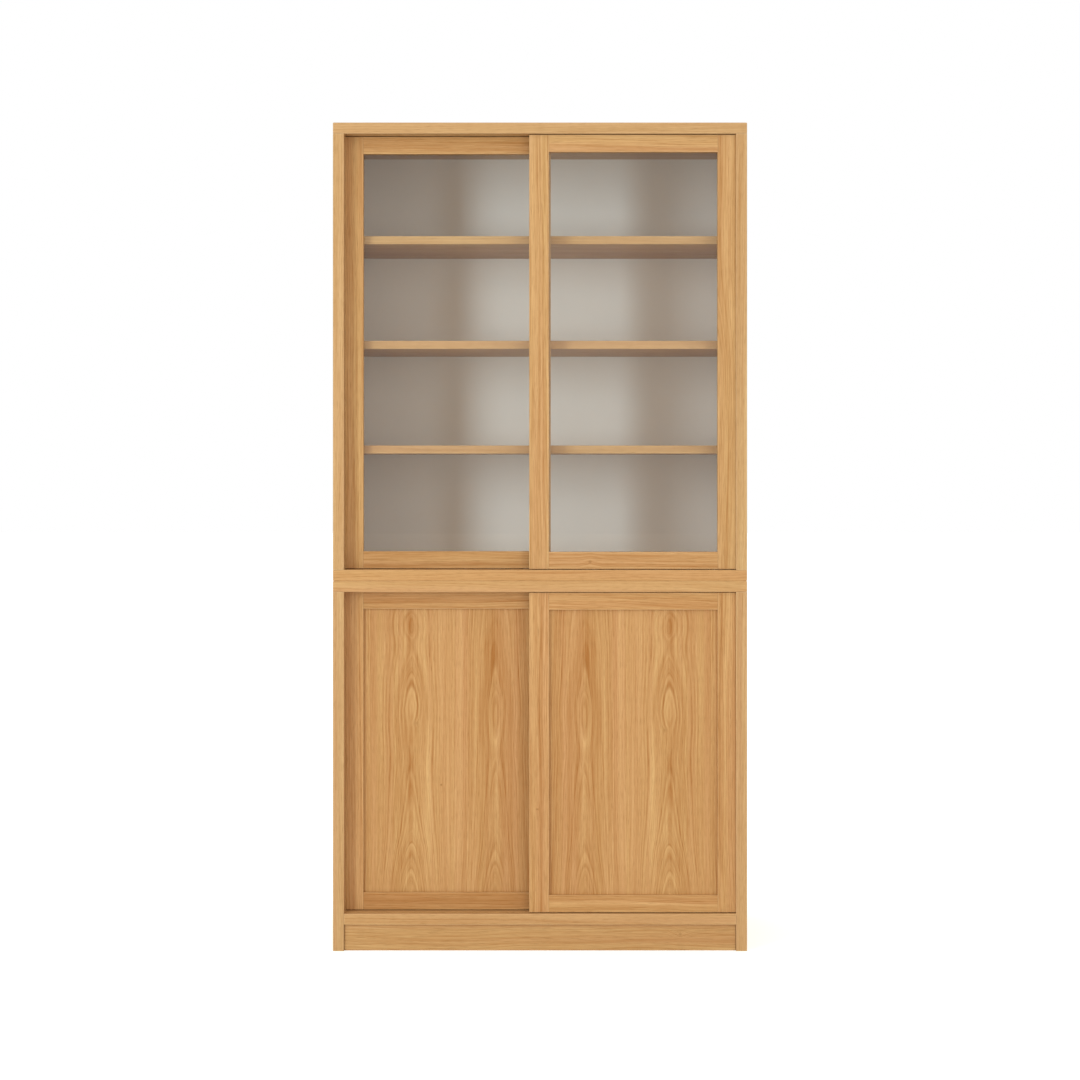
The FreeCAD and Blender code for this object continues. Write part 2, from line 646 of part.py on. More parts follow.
def frame_style(glazed):
    """Where a frame's inner recess and its tenons lie, from the face of the door."""
    if glazed:
        recess = (S.glass_setback, S.door_board - S.glass_setback)
        tenon = (S.glass_setback - S.tenon_thickness) / 2
    else:
        recess = (S.panel_setback, S.panel + S.panel_fit * 2)
        tenon = S.panel_setback + (recess[1] - S.tenon_thickness) / 2
    return SimpleNamespace(glazed=glazed, recess=recess, tenon=tenon)


def make_stile(label, corner, height, style, inner):
    """An upright of the frame; inner is the edge that faces the pane or panel."""
    stile = Piece(label, corner, (S.stile, S.door_board, height))
    stile.soften("Fillet", S.door_arris, ["left front", "right front", "top front", "bottom front"])

    def from_inner(depth):
        return S.stile - depth if inner == "right" else ZERO

    recess_front, recess_width = style.recess
    recess = Rect(from_inner(S.edge_recess), recess_front, S.edge_recess, recess_width)
    recess_start = S.rail - S.edge_recess
    stile.carve("Z", recess_start, height - recess_start * 2, [recess])
    depth = S.tenon_length + S.mortise_end_gap
    mortise = Rect(
        from_inner(depth), style.tenon - S.mortise_fit, depth, S.tenon_thickness + S.mortise_fit * 2)
    length = TENON_HEIGHT + S.mortise_fit * 2
    near_end = S.tenon_shoulder - S.mortise_fit
    for start in (near_end, height - near_end - length):
        stile.carve("Z", start, length, [mortise])


def make_rail(label, corner, style, outer):
    """A level bar between the stiles; outer is its edge on the outside of the door."""
    rail = Piece(label, corner, (SIGHT_WIDTH, S.door_board, S.rail))
    rail.soften("Fillet", S.door_arris, ["top front", "bottom front"])
    recess_front, recess_width = style.recess
    at_top = outer == "bottom"
    recess_low = S.rail - S.edge_recess if at_top else ZERO
    rail.carve(
        "X", ZERO, SIGHT_WIDTH, [Rect(recess_front, recess_low, recess_width, S.edge_recess)])
    tenon_low = S.tenon_shoulder if at_top else S.rail - S.tenon_shoulder - TENON_HEIGHT
    tenon = Rect(style.tenon, tenon_low, S.tenon_thickness, TENON_HEIGHT)
    for start in (-S.tenon_length, SIGHT_WIDTH):
        rail.grow("X", start, S.tenon_length, [tenon])
    return rail


def make_glides(label, corner, rail):
    """Two nylon glides in the underside of a door, each with a fin in the track."""
    gap = S.fitting_gap
    seats = [
        Rect(place - S.glide_length / 2 - gap, DOOR_MIDDLE - S.glide_width / 2 - gap,
             S.glide_length + gap * 2, S.glide_width + gap * 2)
        for place in RUNNERS]
    rail.carve("Z", ZERO, S.glide_height + gap, seats)
    glides = Piece(label, corner)
    blocks = [
        Rect(place - S.glide_length / 2, DOOR_MIDDLE - S.glide_width / 2, S.glide_length,
             S.glide_width)
        for place in RUNNERS]
    glides.grow("Z", ZERO, S.glide_height, blocks)
    fin_depth = S.door_gap + S.lower_track_depth - S.glide_clearance
    straight = S.glide_length - RUNNER
    fins = [
        Rect(place - straight / 2, DOOR_MIDDLE - RUNNER / 2, straight, RUNNER)
        for place in RUNNERS]
    glides.grow("Z", -fin_depth, fin_depth, fins)
    for shift in (-straight / 2, straight / 2):
        noses = [Disc(place + shift, DOOR_MIDDLE, RUNNER) for place in RUNNERS]
        glides.grow("Z", -fin_depth, fin_depth, noses)


def make_guides(label, corner, rail):
    """Two sprung guide pins in the top of a door, each in a sleeve."""
    points = both_ways(RUNNERS, [DOOR_MIDDLE])
    length = S.rail - S.edge_recess - S.guide_sleeve_floor
    rail.drill("top", points, S.guide_sleeve + S.fitting_gap * 2, length + S.fitting_gap)
    guides = Piece(label, corner)
    sleeves = [Disc(a, b, S.guide_sleeve) for a, b in points]
    guides.grow("Z", S.rail - length, length, sleeves)
    pins = [Disc(a, b, RUNNER) for a, b in points]
    guides.grow("Z", S.rail, S.door_gap + S.upper_track_depth - S.guide_clearance, pins)


def make_glazing(prefix, corner, height):
    """The glass behind the lip of its frame, and the four beads that hold it."""
    x, y, z = corner
    overlap = S.edge_recess - S.edge_gap
    sight_height = height - S.rail * 2
    Piece(
        f"{prefix}_glass",
        (x + S.stile - overlap, y + S.glass_setback, z + S.rail - overlap),
        (SIGHT_WIDTH + overlap * 2, S.glass, sight_height + overlap * 2))

    fit = S.bead_fit
    bead = S.edge_recess - fit * 2
    width = SIGHT_WIDTH + S.edge_recess * 2
    full_height = sight_height + S.edge_recess * 2
    thickness = S.door_board - S.glass_setback - S.glass
    place = (
        x + S.stile - S.edge_recess, y + S.glass_setback + S.glass, z + S.rail - S.edge_recess)
    beads = Piece(f"{prefix}_glazing_beads", place)
    level_low, level_high = fit, full_height - fit - bead
    upright_low = fit + bead + fit
    upright_height = full_height - upright_low * 2
    strips = [
        Rect(fit, level_low, width - fit * 2, bead), Rect(fit, level_high, width - fit * 2, bead),
        Rect(fit, upright_low, bead, upright_height),
        Rect(width - fit - bead, upright_low, bead, upright_height)]
    step = S.bead_step
    beads.grow("Y", ZERO, thickness - step, strips)
    slim = [
        Rect(fit, level_low, width - fit * 2, bead - step),
        Rect(fit, level_high + step, width - fit * 2, bead - step),
        Rect(fit, upright_low, bead - step, upright_height),
        Rect(width - fit - bead + step, upright_low, bead - step, upright_height)]
    beads.grow("Y", thickness - step, step, slim)


def make_panel(prefix, corner, height):
    """The flat panel in the groove of its frame."""
    x, y, z = corner
    overlap = S.edge_recess - S.edge_gap
    Piece(
        f"{prefix}_panel",
        (x + S.stile - overlap, y + S.panel_setback + S.panel_fit, z + S.rail - overlap),
        (SIGHT_WIDTH + overlap * 2, S.panel, height - S.rail * 2 + overlap * 2))


def make_door(level, side, glazed):
    prefix = f"{level.name}_{side}_door"
    height = level.opening - S.door_gap * 2
    left = INNER_LEFT - S.door_entry if side == "left" else -S.door_lap / 2
    corner = (left, FRONT + DOOR_FACES[side], level.floor + S.door_gap)
    x, y, z = corner
    style = frame_style(glazed)
    make_stile(f"{prefix}_left_stile", corner, height, style, "right")
    make_stile(f"{prefix}_right_stile", (x + DOOR_WIDTH - S.stile, y, z), height, style, "left")
    low = (x + S.stile, y, z)
    high = (x + S.stile, y, z + height - S.rail)
    bottom_rail = make_rail(f"{prefix}_bottom_rail", low, style, "bottom")
    top_rail = make_rail(f"{prefix}_top_rail", high, style, "top")
    make_glides(f"{prefix}_glides", low, bottom_rail)
    make_guides(f"{prefix}_guide_pins", high, top_rail)
    if glazed:
        make_glazing(prefix, corner, height)
    else:
        make_panel(prefix, corner, height)


# ---------------------------------------------------------------- the whole bookcase

make_upper_carcass()
make_lower_carcass()
make_dowels()
make_connectors()
for cabinet in (UPPER, LOWER):
    make_back(cabinet)
    make_shelves(cabinet)
    for side_name in ("left", "right"):
        make_door(cabinet, side_name, glazed=cabinet is UPPER)

DOC.recompute()
for item in DOC.Objects:
    if "Invalid" in item.State or "Error" in item.State:
        raise RuntimeError(f"{item.Label} failed: {item.State}")
for piece in PIECES:
    if piece.body.Shape.isNull() or not piece.body.Shape.isValid():
        raise RuntimeError(f"{piece.label} has no valid shape")

os.makedirs("parts", exist_ok=True)
for piece in PIECES:
    piece.body.Shape.exportStep(f"parts/{piece.label}.step")
print(f"{len(PIECES)} pieces written")
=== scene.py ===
import math
import random

import bpy
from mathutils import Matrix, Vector


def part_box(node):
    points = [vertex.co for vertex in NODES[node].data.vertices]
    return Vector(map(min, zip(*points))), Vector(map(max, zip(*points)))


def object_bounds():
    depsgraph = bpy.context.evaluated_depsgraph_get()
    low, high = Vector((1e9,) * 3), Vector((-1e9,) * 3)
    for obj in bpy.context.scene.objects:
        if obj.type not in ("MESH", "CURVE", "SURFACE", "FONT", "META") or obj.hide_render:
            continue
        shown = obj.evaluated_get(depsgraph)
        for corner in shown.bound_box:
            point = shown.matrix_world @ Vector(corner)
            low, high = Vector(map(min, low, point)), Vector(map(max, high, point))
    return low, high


# The looks of a tall oak bookcase with sliding doors: oak with its grain along each board,
# clear panes, a light grey back and the small fittings, in a plain white studio.
# Metres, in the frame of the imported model: X to the right, Y to the back, Z up.

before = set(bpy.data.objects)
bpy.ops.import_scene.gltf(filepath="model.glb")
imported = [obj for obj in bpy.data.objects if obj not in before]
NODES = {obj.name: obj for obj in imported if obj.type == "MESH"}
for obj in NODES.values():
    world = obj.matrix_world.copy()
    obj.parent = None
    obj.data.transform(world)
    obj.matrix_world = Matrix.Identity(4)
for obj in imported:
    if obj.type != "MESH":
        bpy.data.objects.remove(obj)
cad_low, cad_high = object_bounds()

# ------------------------------------------------------------------ the studio

CASE_FRONT = cad_low.y
CAMERA_DISTANCE = 4.633  # from the front of the case
CAMERA_HEIGHT = 1.047
FRAME_WIDTH = 2.3458  # what the picture takes in at the front of the case
FRAME_MIDDLE = 0.893  # height at the middle of the picture
SENSOR = 36  # millimetres

LAMP_DISTANCE = 5.0
LAMP_HEIGHT = 1.6
LAMP_TARGET = Vector((0, 0, 1.1))
LAMP_LENGTH = 2.1
LAMPS = {"key_light": (-37, 76, 1.0), "fill_light": (28, 21, 0.6)}  # bearing, watts, width
LAMP_COLOUR = (0.86, 1.01, 1.14)  # a little blue, to make up for the warm room
SKY = 0.95  # brightness of the room, as it lights the object
SKY_COLOUR = (1.085, 1.0, 0.88)
FLOOR_REACH = 30
FLOOR_COLOUR = (0.80, 0.80, 0.80)
FLOOR_LIFT = 0.5  # added where the floor is seen, so that it goes white


def make_camera():
    """A level camera in front of the middle, shifted down to the middle of the picture."""
    data = bpy.data.cameras.new("camera")
    data.sensor_width = SENSOR
    data.lens = SENSOR * CAMERA_DISTANCE / FRAME_WIDTH
    data.shift_y = (FRAME_MIDDLE - CAMERA_HEIGHT) / FRAME_WIDTH
    camera = bpy.data.objects.new("camera", data)
    camera.location = (0, CASE_FRONT - CAMERA_DISTANCE, CAMERA_HEIGHT)
    camera.rotation_euler = (math.radians(90), 0, 0)
    bpy.context.collection.objects.link(camera)
    bpy.context.scene.camera = camera


def make_lamp(name, bearing, power, width):
    """A tall soft box in front of the case that faces it, at a bearing in degrees to the right."""
    data = bpy.data.lights.new(name, "AREA")
    data.shape = "RECTANGLE"
    data.size = width
    data.size_y = LAMP_LENGTH
    data.energy = power
    data.color = LAMP_COLOUR
    lamp = bpy.data.objects.new(name, data)
    angle = math.radians(bearing)
    lamp.location = (
        LAMP_DISTANCE * math.sin(angle), -LAMP_DISTANCE * math.cos(angle), LAMP_HEIGHT)
    aim = LAMP_TARGET - lamp.location
    lamp.rotation_euler = aim.to_track_quat("-Z", "Y").to_euler()
    lamp.visible_camera = False
    lamp.visible_glossy = False  # this and the next line keep white patches off the panes
    lamp.visible_transmission = False
    bpy.context.collection.objects.link(lamp)


# ------------------------------------------------------------------ shader nodes

class Graph:
    """Adds nodes to a node tree. Values may be numbers, colours or other nodes' sockets."""

    def __init__(self, tree):
        self.tree = tree
        tree.nodes.clear()

    def node(self, kind, settings=None, **inputs):
        node = self.tree.nodes.new(f"ShaderNode{kind}")
        for name, value in (settings or {}).items():
            setattr(node, name, value)
        for name, value in inputs.items():
            self.put(value, node.inputs[name.replace("_", " ")])
        return node

    def put(self, value, socket):
        if isinstance(value, bpy.types.NodeSocket):
            self.tree.links.new(value, socket)
        else:
            socket.default_value = value

    def math(self, operation, *values):
        node = self.node("Math", {"operation": operation})
        for value, socket in zip(values, node.inputs):
            self.put(value, socket)
        return node.outputs[0]

    def weighted(self, start, *terms, scale):
        """Start, and scale times each (value, its middle, its weight) term's swing."""
        swing = 0.0
        for value, middle, weight in terms:
            part = self.math("MULTIPLY_ADD", value, weight, -middle * weight)
            swing = self.math("ADD", swing, part)
        return self.math("MULTIPLY_ADD", swing, scale, start)

    def vector(self, across, depth, along):
        return self.node("CombineXYZ", X=across, Y=depth, Z=along).outputs[0]

    def scaled(self, vector, across, depth, along):
        """The place with this many units to the metre in each direction."""
        node = self.node("VectorMath", {"operation": "MULTIPLY"})
        self.put(vector, node.inputs[0])
        self.put((across, depth, along), node.inputs[1])
        return node.outputs[0]

    def noise(self, vector, detail=2.0, roughness=0.5):
        """Noise about 0.5 with features one unit of the vector wide."""
        node = self.node("TexNoise", Vector=vector, Scale=1.0, Detail=detail, Roughness=roughness)
        return node.outputs["Fac"]

    def line_noise(self, along):
        """Noise about 0.5 along a line, with features one unit long."""
        node = self.node("TexNoise", {"noise_dimensions": "1D"}, W=along, Scale=1.0, Detail=1.0)
        return node.outputs["Fac"]

    def random(self, value):
        """Three even random numbers, the same wherever the value is the same."""
        node = self.node("TexWhiteNoise", {"noise_dimensions": "1D"}, W=value)
        return self.split(node.outputs["Color"])

    def split(self, vector):
        return self.node("SeparateXYZ", Vector=vector).outputs[:3]

    def remap(self, value, low, high, to_low=0.0, to_high=1.0):
        """The value moved from one range to another one, and held inside it."""
        node = self.node("MapRange", {"clamp": True})
        for item, socket in zip((value, low, high, to_low, to_high), node.inputs):
            self.put(item, socket)
        return node.outputs[0]

    def ramp(self, value, stops):
        """A number that follows the (position, height) stops."""
        node = self.node("ValToRGB", Fac=value)
        elements = node.color_ramp.elements
        while len(elements) < len(stops):
            elements.new(0.5)
        for element, (position, height) in zip(elements, stops):
            element.position = position
            element.color = (height, height, height, 1)
        return node.outputs[0]

    def curve(self, value, stops):
        """A smooth curve through the (position, height) stops, in their own units."""
        starts, heights = zip(*stops)
        left, right, bottom, top = starts[0], starts[-1], min(heights), max(heights)
        node = self.node("FloatCurve", Value=self.remap(value, left, right))
        points = node.mapping.curves[0].points
        while len(points) < len(stops):
            points.new(0.5, 0.5)
        for point, (start, height) in zip(points, stops):
            point.location = ((start - left) / (right - left), (height - bottom) / (top - bottom))
        node.mapping.update()
        return self.remap(node.outputs[0], 0.0, 1.0, bottom, top)

    def mix(self, factor, first, second, blend="MIX"):
        node = self.node("Mix", {"data_type": "RGBA", "blend_type": blend})
        for value, name in ((factor, "Factor_Float"), (first, "A_Color"), (second, "B_Color")):
            socket = next(s for s in node.inputs if s.identifier == name)
            self.put(value, socket)
        return next(s for s in node.outputs if s.identifier == "Result_Color")


def colour(red, green, blue):
    """A display colour, from 0 to 255, as the linear colour that shaders take."""
    def linear(value):
        value /= 255
        return value / 12.92 if value <= 0.04045 else ((value + 0.055) / 1.055) ** 2.4
    return (linear(red), linear(green), linear(blue), 1)


def new_material(name):
    """An empty material and the graph of its nodes."""
    material = bpy.data.materials.new(name)
    material.use_nodes = True
    return material, Graph(material.node_tree)


def finish_surface(graph, relief, depth, **inputs):
    """The Principled shader, with a relief this many metres deep, and the material's output."""
    shader = graph.node("BsdfPrincipled", **inputs)
    bump = graph.node("Bump", Strength=1.0, Distance=depth, Height=relief)
    graph.put(bump.outputs[0], shader.inputs["Normal"])
    graph.node("OutputMaterial", Surface=shader.outputs[0])


def seen_directly(graph):
    """1 for what the camera sees, straight, mirrored or through glass, and 0 for light."""
    path = graph.node("LightPath").outputs
    seen = graph.math("MAXIMUM", path["Is Camera Ray"], path["Is Glossy Ray"])
    seen = graph.math("MAXIMUM", seen, path["Is Transmission Ray"])
    return graph.math("MULTIPLY", seen, graph.math("LESS_THAN", path["Diffuse Depth"], 0.5))


def make_sky():
    """A room that is white where it is seen, and lights the object with its own colour."""
    world = bpy.data.worlds.new("white_room")
    bpy.context.scene.world = world
    world.use_nodes = True
    graph = Graph(world.node_tree)
    seen = seen_directly(graph)
    tint = graph.mix(seen, (*SKY_COLOUR, 1), (1, 1, 1, 1))
    strength = graph.remap(seen, 0.0, 1.0, SKY, 1.0)
    background = graph.node("Background", Color=tint, Strength=strength)
    graph.node("OutputWorld", Surface=background.outputs[0])


def make_floor():
    """A plain pale floor that keeps the shadow and otherwise goes white where it is seen."""
    mesh = bpy.data.meshes.new("floor")
    reach = FLOOR_REACH
    mesh.from_pydata(
        [(-reach, -reach, 0), (reach, -reach, 0), (reach, reach, 0), (-reach, reach, 0)],
        [], [(0, 1, 2, 3)])
    floor = bpy.data.objects.new("floor", mesh)
    bpy.context.collection.objects.link(floor)
    material, graph = new_material("floor")
    lit = graph.node("BsdfDiffuse", Color=(*FLOOR_COLOUR, 1))
    lift = graph.math("MULTIPLY", seen_directly(graph), FLOOR_LIFT)
    glow = graph.node("Emission", Color=(1, 1, 1, 1), Strength=lift)
    both = graph.node("AddShader")
    graph.put(lit.outputs[0], both.inputs[0])
    graph.put(glow.outputs[0], both.inputs[1])
    graph.node("OutputMaterial", Surface=both.outputs[0])
    mesh.materials.append(material)


# ------------------------------------------------------------------ oak

HONEY = colour(216, 176, 117)
ROSY = colour(210, 163, 111)
RING = colour(162, 104, 42)
PORE = colour(132, 86, 30)
# The lighter colour of the edges: partly rubbed wear, partly a painted highlight.
WORN_AND_HIGHLIT = colour(222, 188, 138)
# A tint that makes a board paler and less yellow.
PALE_TINT = (0.98, 1.07, 1.21, 1)  # tint of a board that has lost some of its yellow
RING_WIDTH = 0.0034
RING_WARP = 0.004  # how far the rings sway
RING_UNEVEN = 3.0  # how many rings' width the spacing strays
SEED_ALONG, SEED_OUT = 3.7, 0.31  # what one unit of the seed adds to the grain and the radius
OAK_RELIEF = 0.0002  # depth of the pores
VARNISH_IOR = 1.45
# How fine each pattern of the oak is: units to the metre across the board, or for the veins out
# from the pith, then into the board and along it.
FINENESS = {
    "warp": (22, 22, 1.6), "fade": (80, 80, 7), "veins": (520, 60, 2.5),
    "pores": (1500, 1500, 45), "hairs": (750, 750, 16), "fibres": (330, 330, 3.0),
    "streaks": (90, 90, 0.8), "tone": (35, 35, 0.6),
}
UNEVEN_PACE, BAND_PACE = 90.0, 60.0  # units to the metre of the radius
# How dark the lines are on the average, and the middle and the weight of each pattern in them.
LINES_MEAN = 0.42
LINES = {
    "rings": (0.10, 0.35), "bands": (0.5, 0.35), "veins": (0.5, 0.8), "hairs": (0.5, 0.5),
    "fibres": (0.5, 0.6), "streaks": (0.5, 0.4),
}
EARLY_WOOD = ((0.0, 0.2), (0.15, 1.0), (0.45, 0.5), (0.85, 0.0), (1.0, 0.2))  # over one ring
OAK_INPUTS = (
    "Across", "Depth", "Along", "Radius", "Figure", "Tone", "Pale", "Stain", "Edge", "Seed")


def make_oak_group():
    """Oak as a solid: growth rings round a pith, pores, fibres and changes of tone.

    Across runs over the face of the board, Depth into it, and Along with the grain, in
    metres, and Radius is how far the pith is. Figure is how strongly the lines show, Tone
    darkens, and for some boards holds painted shade, Pale makes the board paler and less
    yellow, Stain is the darkness of a knot, Edge is 1 on the board's edges, which are made
    lighter as rubbed wear and as a painted highlight, and Seed keeps two boards from looking
    alike.
    """
    tree = bpy.data.node_groups.new("oak", "ShaderNodeTree")
    graph = Graph(tree)
    for name in OAK_INPUTS:
        tree.interface.new_socket(name, in_out="INPUT", socket_type="NodeSocketFloat")
    tree.interface.new_socket("Color", in_out="OUTPUT", socket_type="NodeSocketColor")
    for name in ("Roughness", "Height"):
        tree.interface.new_socket(name, in_out="OUTPUT", socket_type="NodeSocketFloat")
    given = tree.nodes.new("NodeGroupInput").outputs
    grain = graph.math("MULTIPLY_ADD", given["Seed"], SEED_ALONG, given["Along"])
    place = graph.vector(given["Across"], given["Depth"], grain)

    # Rings of uneven width and strength, each dark and porous at its start, which fade in
    # and out along the grain, in bands of darker and paler years, and fine veins along them.
    warp = graph.noise(graph.scaled(place, *FINENESS["warp"]))
    radius = graph.math("MULTIPLY_ADD", warp, RING_WARP, given["Radius"])
    radius = graph.math("MULTIPLY_ADD", given["Seed"], SEED_OUT, radius)
    uneven = graph.line_noise(graph.math("MULTIPLY", radius, UNEVEN_PACE))
    count = graph.math(
        "MULTIPLY_ADD", uneven, RING_UNEVEN, graph.math("DIVIDE", radius, RING_WIDTH))
    strength = graph.random(graph.math("FLOOR", count))[0]
    early = graph.ramp(graph.math("FRACT", count), EARLY_WOOD)
    fade = graph.noise(graph.scaled(place, *FINENESS["fade"]))
    fade = graph.remap(fade, 0.38, 0.62, 0.25, 1.0)
    rings = graph.math("MULTIPLY", early, graph.math("MULTIPLY", strength, fade))
    bands = graph.line_noise(graph.math("MULTIPLY", radius, BAND_PACE))
    along_rings = graph.vector(radius, given["Depth"], grain)
    veins = graph.noise(graph.scaled(along_rings, *FINENESS["veins"]), roughness=0.65)

    # Fine detail: pores and hairs are short dark dashes, fibres and streaks long faint ones.
    pores = graph.noise(graph.scaled(place, *FINENESS["pores"]), detail=1.0)
    pores = graph.remap(pores, 0.5, 0.72)
    pores = graph.math("MULTIPLY", pores, graph.math("MULTIPLY_ADD", early, 0.6, 0.4))
    hairs = graph.noise(graph.scaled(place, *FINENESS["hairs"]), detail=1.0)
    fibres = graph.noise(graph.scaled(place, *FINENESS["fibres"]), roughness=0.6)
    streaks = graph.noise(graph.scaled(place, *FINENESS["streaks"]))
    tone = graph.noise(graph.scaled(place, *FINENESS["tone"]))

    lines = graph.weighted(
        LINES_MEAN, (rings, *LINES["rings"]), (bands, *LINES["bands"]),
        (veins, *LINES["veins"]), (hairs, *LINES["hairs"]), (fibres, *LINES["fibres"]),
        (streaks, *LINES["streaks"]), scale=given["Figure"])
    lines = graph.math("ADD", lines, given["Tone"])
    base = graph.mix(graph.remap(tone, 0.35, 0.65), HONEY, ROSY)
    base = graph.mix(graph.remap(lines, 0.0, 1.0), base, RING)
    # Lighter along the edges: partly rubbed wear, partly a painted highlight on the arrises.
    rubbed_and_highlit = graph.math("MULTIPLY", given["Edge"], graph.remap(fibres, 0.3, 0.7, 0.1, 0.5))
    base = graph.mix(rubbed_and_highlit, base, WORN_AND_HIGHLIT)
    dark = graph.math("MAXIMUM", graph.math("MULTIPLY", pores, 0.5), given["Stain"])
    base = graph.mix(dark, base, PORE)
    base = graph.mix(given["Pale"], base, PALE_TINT, "MULTIPLY")
    roughness = graph.math("MULTIPLY_ADD", fibres, 0.2, 0.38)
    roughness = graph.math("MULTIPLY_ADD", pores, 0.25, roughness)
    roughness = graph.math("MULTIPLY_ADD", given["Edge"], -0.08, roughness)
    height = graph.math("MULTIPLY_ADD", pores, -0.7, graph.math("MULTIPLY", rings, -0.3))
    made = tree.nodes.new("NodeGroupOutput").inputs
    graph.put(base, made["Color"])
    graph.put(roughness, made["Roughness"])
    graph.put(height, made["Height"])
    return tree


# How each kind of board is cut: which row axes run across its face, into it and along its
# grain, how far aside of its middle and how deep under its face the pith lies, how fast the
# pith sinks along the grain, how strong its figure is, and how wide its staves are. Metres.
CUTS = {
    "stile": dict(axes=(0, 1, 2), aside=(0.03, 0.07), deep=(0.04, 0.06), sink=0.015, figure=1.05),
    "rail": dict(axes=(2, 1, 0), aside=(0.03, 0.05), deep=(0.04, 0.05), sink=0.020, figure=1.0),
    "plinth": dict(axes=(2, 1, 0), aside=(0.03, 0.05), deep=(0.02, 0.03), sink=0.012, figure=0.75),
    "side": dict(
        axes=(1, 0, 2), aside=(0.0, 0.03), deep=(0.03, 0.06), sink=0.02, figure=0.8, stave=0.1),
    "shelf": dict(
        axes=(1, 2, 0), aside=(0.0, 0.03), deep=(0.03, 0.06), sink=0.02, figure=0.7, stave=0.081),
    "panel": dict(
        axes=(1, 2, 0), aside=(0.0, 0.03), deep=(0.03, 0.06), sink=0.02, figure=0.65, stave=0.1),
}
WANDER = (2.0, 0.006)  # how often to the metre, and how far, the pith strays to either side
SWELL = (2.6, 0.004)  # and up and down
SEEDS = 60  # the seeds of two boards differ by up to this
STAVE_SEEDS = 30.0  # and those of two staves of a board
PALER, DARKER = -0.05, 0.05  # how far the tone of one board or stave is from the next one's
# The tones of boards that stand out: higher is darker. Partly the boards' own tone, partly painted
# shade: the rails and the left stiles of the recessed left doors are darker where the case shades
# them. A board with staves adds its own to each.
BOARD_TONES_AND_SHADE = {
    "upper_left_door_top_rail": 0.12, "upper_left_door_bottom_rail": 0.10,
    "upper_right_door_top_rail": -0.02, "upper_right_door_bottom_rail": 0.05,
    "lower_left_door_top_rail": 0.09, "lower_left_door_bottom_rail": 0.22,
    "lower_right_door_top_rail": 0.08, "lower_right_door_bottom_rail": 0.05,
    "upper_left_door_left_stile": 0.06, "upper_right_door_left_stile": 0.0,
    "upper_right_door_right_stile": 0.02, "lower_left_door_left_stile": 0.01,
    "lower_right_door_left_stile": 0.03, "lower_right_door_right_stile": 0.02,
    "front_plinth": 0.10, "upper_top_panel": -0.06, "lower_bottom_panel": -0.06,
    "upper_shelf_2": -0.06, "upper_shelf_3": -0.04,
}
# How far each board is made paler and less yellow. The first entry that is part of a node's name
# counts.
PALER_BOARDS = {
    "side": 1.0, "upper_top_panel": 1.0, "lower_top_panel": 0.4, "lower_bottom_panel": 0.6,
    "plinth": 0.5, "shelf": 0.5, "upper_right_door": 0.35, "upper_left_door": 0.25,
}
# The edges are painted lighter, partly as rubbed wear and partly as a painted highlight.
EDGE = 0.0025  # width of the rubbed edges

# The lower door panels are two leaves of veneer from one flitch, turned like the pages of a
# book on the two doors. A strong figure of nested arches stands on the outer leaf, and a weak
# one on the inner leaf. Each has its distance from the middle of the bookcase and two curves
# of (height, value): how many rings lie over the pith, and how much darker its middle is.
# Its strength is that of the lines in its middle, and away from it. Below them, the leaf tone
# gives how dark the veneer is at each distance from the middle of the bookcase: partly the
# veneer's own tone, partly painted shade, darker next to the middle stiles and at the outer stiles.
STRONG = dict(
    middle=0.282, seed=16.0, strength=(1.25, 0.9),
    rings=((0.08, -5.5), (0.155, -3.2), (0.182, -2.2), (0.214, -1.2), (0.242, -0.2), (0.30, 0.8),
           (0.375, 1.6), (0.404, 1.8), (0.45, 1.4), (0.50, 0.9), (0.54, 1.2), (0.584, 2.0),
           (0.624, 3.0), (0.664, 3.6), (0.70, 3.0), (0.741, 4.0), (0.78, 5.0)),
    tone=((0.08, 0.0), (0.20, -0.05), (0.235, -0.22), (0.28, 0.0), (0.40, 0.10), (0.47, 0.05),
          (0.537, -0.24), (0.575, 0.0), (0.66, 0.05), (0.715, 0.22), (0.75, 0.0), (0.78, 0.0)))
WEAK = dict(
    middle=0.097, seed=5.0, strength=(1.15, 0.9),
    rings=((0.08, -5.0), (0.16, -3.0), (0.228, -1.2), (0.30, -0.4), (0.39, 0.6), (0.43, 1.0),
           (0.47, 0.6), (0.52, 0.4), (0.58, 1.1), (0.66, 1.8), (0.72, 2.6), (0.78, 3.6)),
    tone=((0.08, 0.0), (0.18, 0.0), (0.215, -0.15), (0.30, -0.05), (0.38, -0.12), (0.415, 0.08),
          (0.455, -0.2), (0.50, 0.02), (0.60, 0.05), (0.655, 0.16), (0.72, 0.04), (0.78, 0.0)))
LEAF_TONE_AND_SHADE = (
    (0.02, 0.10), (0.03, 0.13), (0.05, 0.14), (0.09, 0.17), (0.12, 0.21), (0.14, 0.12),
    (0.175, -0.01), (0.22, 0.0), (0.26, 0.10), (0.31, 0.16), (0.345, 0.10), (0.39, 0.14))
ARCH_TIP = 0.003  # how far the tips of the arches are rounded
ARCH_SPREAD = 0.07  # how far from the middle of a figure its lines close up
ARCH_SLOPE = 0.13  # share of the straight flanks in the arches
ARCH_REACH = 0.055  # how far the figure bends the lines to either side
ARCH_SWAY = (5.0, 0.0015)  # how often to the metre, and how far, a figure sways to either side
ACCENT_REACH = 0.014  # half width of the darker and paler spots in the middle of a figure

